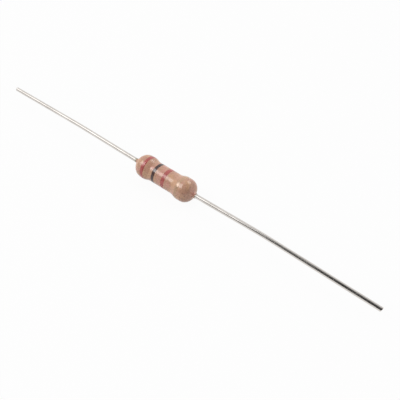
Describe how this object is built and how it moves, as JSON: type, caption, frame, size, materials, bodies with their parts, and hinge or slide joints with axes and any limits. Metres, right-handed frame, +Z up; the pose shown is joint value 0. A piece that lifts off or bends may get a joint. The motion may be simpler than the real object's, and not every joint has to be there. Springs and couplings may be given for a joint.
{
  "type": "axial resistor",
  "caption": "Carbon film resistor with a waisted lacquered body, painted colour bands and a straight tinned wire lead at each end.",
  "frame": {"origin": "middle of the body, on the axis of the wires", "axes": "+X along the wires, from the first digit band towards the tolerance band; +Z up as the part lies, +Y across it"},
  "size_m": [0.0642, 0.0034, 0.0034],
  "materials": {
    "ceramic": "fired, unglazed",
    "carbon": "matt pyrolytic carbon",
    "cap_steel": "plated, satin",
    "tinned_wire": "bright tin",
    "lacquer": "glossy epoxy lacquer",
    "red_paint": "glossy paint",
    "black_paint": "glossy paint",
    "gold_paint": "dull gold paint"
  },
  "bodies": {
    "root": {"ceramic_core": "ceramic", "carbon_film": "carbon", "end_cap_left": "cap_steel", "end_cap_right": "cap_steel", "lead_left": "tinned_wire", "lead_right": "tinned_wire", "lacquer_coat": "lacquer", "band_first_digit": "red_paint", "band_second_digit": "black_paint", "band_multiplier": "red_paint", "band_tolerance": "gold_paint"}
  },
  "joints": []
}
